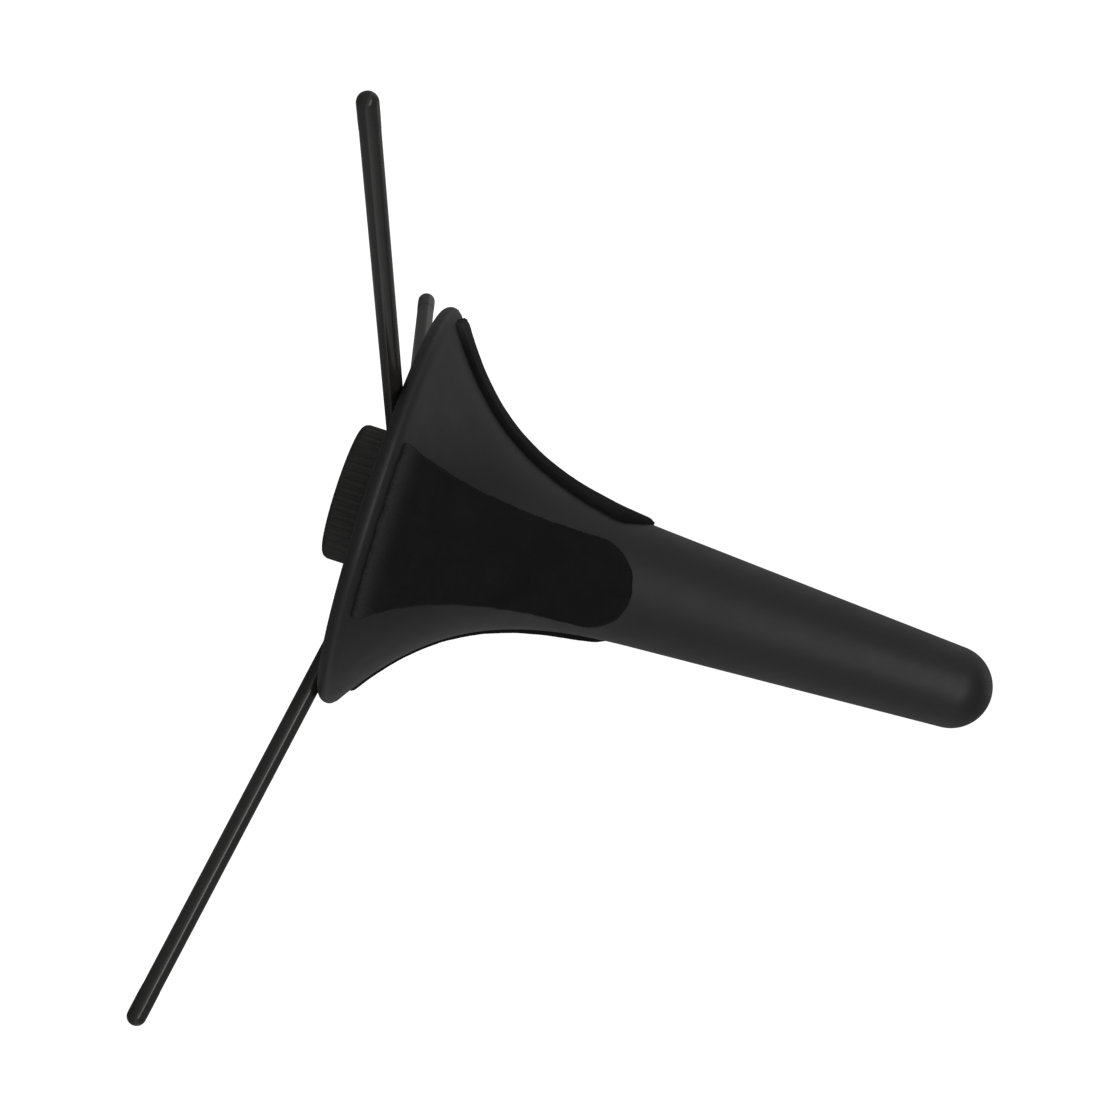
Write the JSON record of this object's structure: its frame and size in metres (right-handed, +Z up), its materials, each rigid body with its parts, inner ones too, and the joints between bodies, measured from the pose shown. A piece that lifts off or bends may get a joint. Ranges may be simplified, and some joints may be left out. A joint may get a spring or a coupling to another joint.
{
  "type": "in-bell trumpet stand",
  "caption": "Folding in-bell stand for a trumpet or cornet: a hollow flared peg with velvet pads on three thin splayed legs, with a ribbed knob under its hub.",
  "frame": {"origin": "centre of the knob's flat underside, on the peg's axis", "axes": "+Z up along the peg's axis towards its round tip; +Y over leg 1, which is one of the three equally spaced legs"},
  "size_m": [0.2556, 0.2221, 0.1859],
  "materials": {
    "satin_abs": "satin moulded ABS, black",
    "ribbed_abs": "moulded ABS with fine ribs, black",
    "velvet": "short-pile flocked velvet on thin foam, black",
    "nylon": "moulded nylon, black",
    "rubber": "soft black rubber",
    "coated_steel": "black powder coating on steel rod",
    "zinc_steel": "zinc-plated steel"
  },
  "bodies": {
    "leg_hub": {"leg_hub": "nylon", "knob": "ribbed_abs", "pivot_pin_1": "zinc_steel", "pivot_pin_2": "zinc_steel", "pivot_pin_3": "zinc_steel", "hub_screw_1": "zinc_steel", "hub_screw_2": "zinc_steel", "hub_screw_3": "zinc_steel"},
    "leg_1": {"leg_knuckle_1": "nylon", "leg_rod_1": "coated_steel", "foot_cap_1": "rubber"},
    "leg_2": {"leg_knuckle_2": "nylon", "leg_rod_2": "coated_steel", "foot_cap_2": "rubber"},
    "leg_3": {"leg_knuckle_3": "nylon", "leg_rod_3": "coated_steel", "foot_cap_3": "rubber"},
    "grip_ring": {"grip_ring": "rubber"},
    "peg": {"peg_shell": "satin_abs", "leg_socket": "nylon", "velvet_pad_1": "velvet", "velvet_pad_2": "velvet", "velvet_pad_3": "velvet"}
  },
  "joints": [
    {"name": "peg_slide", "type": "slide", "parent": "leg_hub", "child": "grip_ring", "axis": [0, 0, 1], "range_m": [0, 0.176]},
    {"name": "peg_turn", "type": "hinge", "parent": "grip_ring", "child": "peg", "pos_m": [0, 0, 0.0195], "axis": [0, 0, 1], "continuous": true},
    {"name": "leg_1_fold", "type": "hinge", "parent": "leg_hub", "child": "leg_1", "pos_m": [0, 0.007, 0.01548], "axis": [1, 0, 0], "range_deg": [0, 100.5]},
    {"name": "leg_2_fold", "type": "hinge", "parent": "leg_hub", "child": "leg_2", "pos_m": [-0.00606, -0.0035, 0.01548], "axis": [-0.5, 0.866, 0], "range_deg": [0, 100.5]},
    {"name": "leg_3_fold", "type": "hinge", "parent": "leg_hub", "child": "leg_3", "pos_m": [0.00606, -0.0035, 0.01548], "axis": [-0.5, -0.866, 0], "range_deg": [0, 100.5]}
  ],
  "couplings": [
    {"joint": "leg_1_fold", "follows": "peg_slide", "rad_per_m": 9.966},
    {"joint": "leg_2_fold", "follows": "peg_slide", "rad_per_m": 9.966},
    {"joint": "leg_3_fold", "follows": "peg_slide", "rad_per_m": 9.966}
  ]
}
